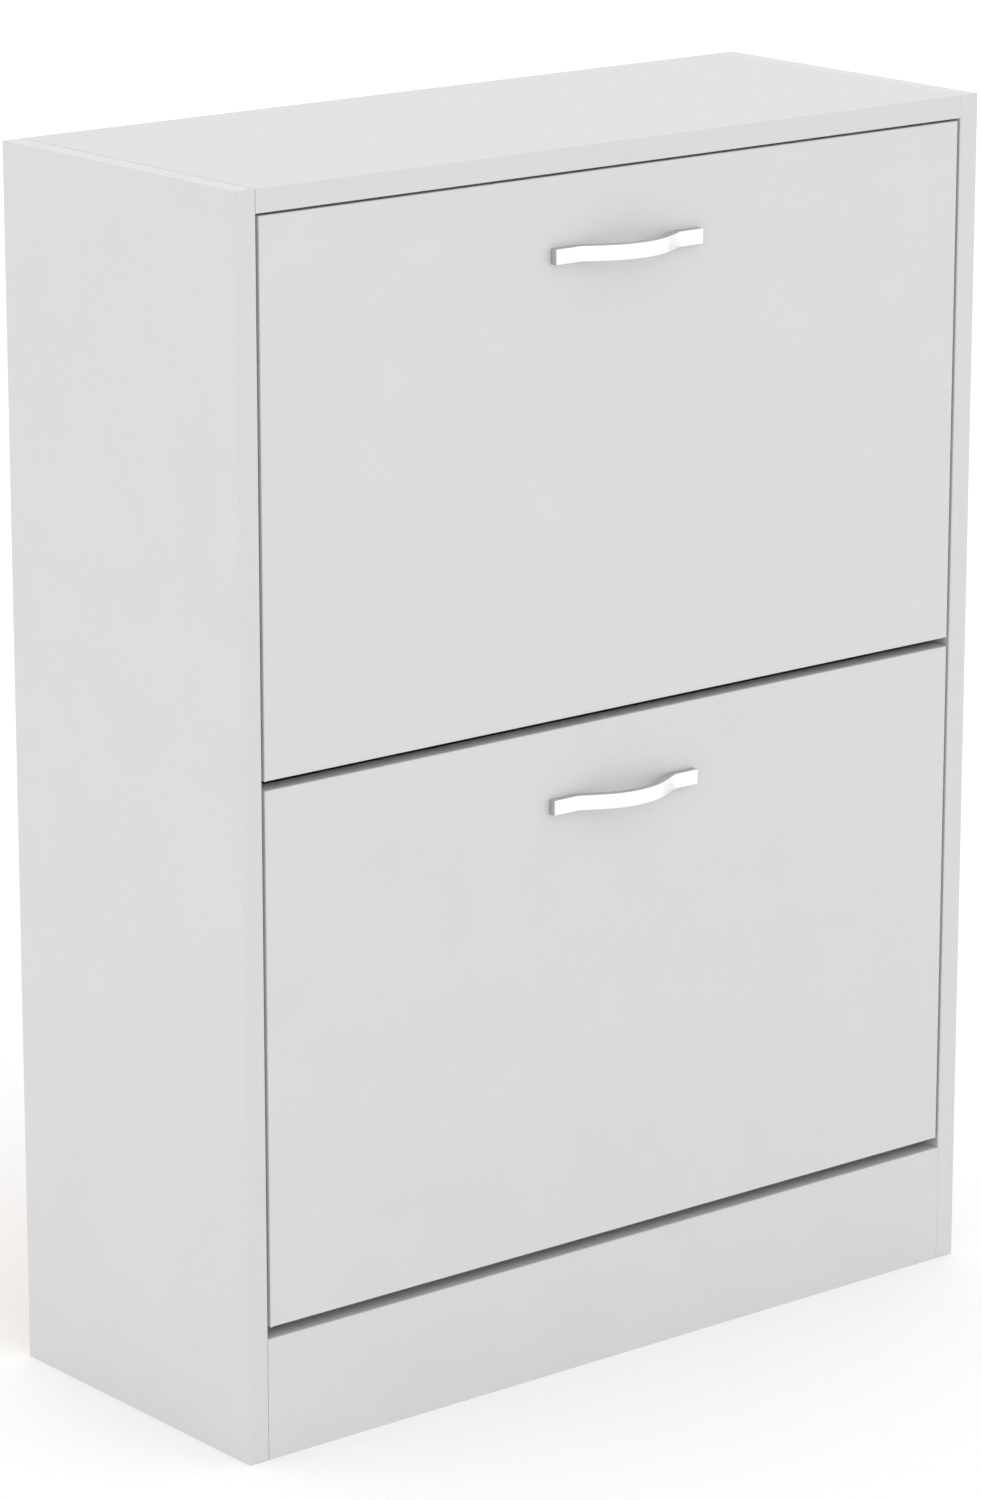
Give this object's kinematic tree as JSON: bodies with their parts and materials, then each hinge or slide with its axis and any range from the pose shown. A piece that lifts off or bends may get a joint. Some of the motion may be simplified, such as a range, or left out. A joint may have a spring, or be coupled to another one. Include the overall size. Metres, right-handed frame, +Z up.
{
  "type": "shoe cabinet",
  "caption": "White shoe cabinet with tip-out doors, each with a bow handle and a bucket behind it that holds rows of shoes.",
  "frame": {"origin": "on the floor, at the middle of the outside box, handles included", "axes": "+Z up, the front with the doors looks along -Y, +X to the right as seen from the front"},
  "size_m": [0.6, 0.2594, 0.8],
  "materials": {
    "melamine_board": "white melamine on chipboard, matt",
    "edge_band": "white edge band, matt",
    "hardboard": "white lacquered hardboard",
    "anodised_aluminium": "satin anodised",
    "zinc_plated_steel": "bright zinc plated",
    "zinc_alloy": "die-cast zinc alloy",
    "beech": "bare beech",
    "bracket_plastic": "moulded polypropylene"
  },
  "bodies": {
    "carcass": {"left_side_panel": "melamine_board", "right_side_panel": "melamine_board", "top_panel": "melamine_board", "bottom_panel": "melamine_board", "middle_shelf": "melamine_board", "plinth": "melamine_board", "back_panel": "hardboard", "back_panel_nails": "zinc_plated_steel", "carcass_edge_bands": "edge_band", "cam_locks": "zinc_alloy", "cam_bolts": "zinc_plated_steel", "wooden_dowels": "beech", "wall_brackets": "zinc_plated_steel", "wall_bracket_screws": "zinc_plated_steel", "pivot_pins": "zinc_plated_steel", "stop_pins": "zinc_plated_steel"},
    "upper_tip_door": {"upper_door": "melamine_board", "upper_door_edge_bands": "edge_band", "upper_handle": "anodised_aluminium", "upper_handle_screws": "zinc_plated_steel", "upper_left_bracket": "bracket_plastic", "upper_right_bracket": "bracket_plastic", "upper_bracket_screws": "zinc_plated_steel", "upper_front_floor": "hardboard", "upper_divider": "hardboard", "upper_rear_floor": "hardboard", "upper_rear_board": "hardboard"},
    "lower_tip_door": {"lower_door": "melamine_board", "lower_door_edge_bands": "edge_band", "lower_handle": "anodised_aluminium", "lower_handle_screws": "zinc_plated_steel", "lower_left_bracket": "bracket_plastic", "lower_right_bracket": "bracket_plastic", "lower_bracket_screws": "zinc_plated_steel", "lower_front_floor": "hardboard", "lower_divider": "hardboard", "lower_rear_floor": "hardboard", "lower_rear_board": "hardboard"}
  },
  "joints": [
    {"name": "upper_door_tip", "type": "hinge", "parent": "carcass", "child": "upper_tip_door", "pos_m": [0, -0.08975, 0.4835], "axis": [1, 0, 0], "range_deg": [0, 48]},
    {"name": "lower_door_tip", "type": "hinge", "parent": "carcass", "child": "lower_tip_door", "pos_m": [0, -0.08975, 0.1325], "axis": [1, 0, 0], "range_deg": [0, 48]}
  ]
}
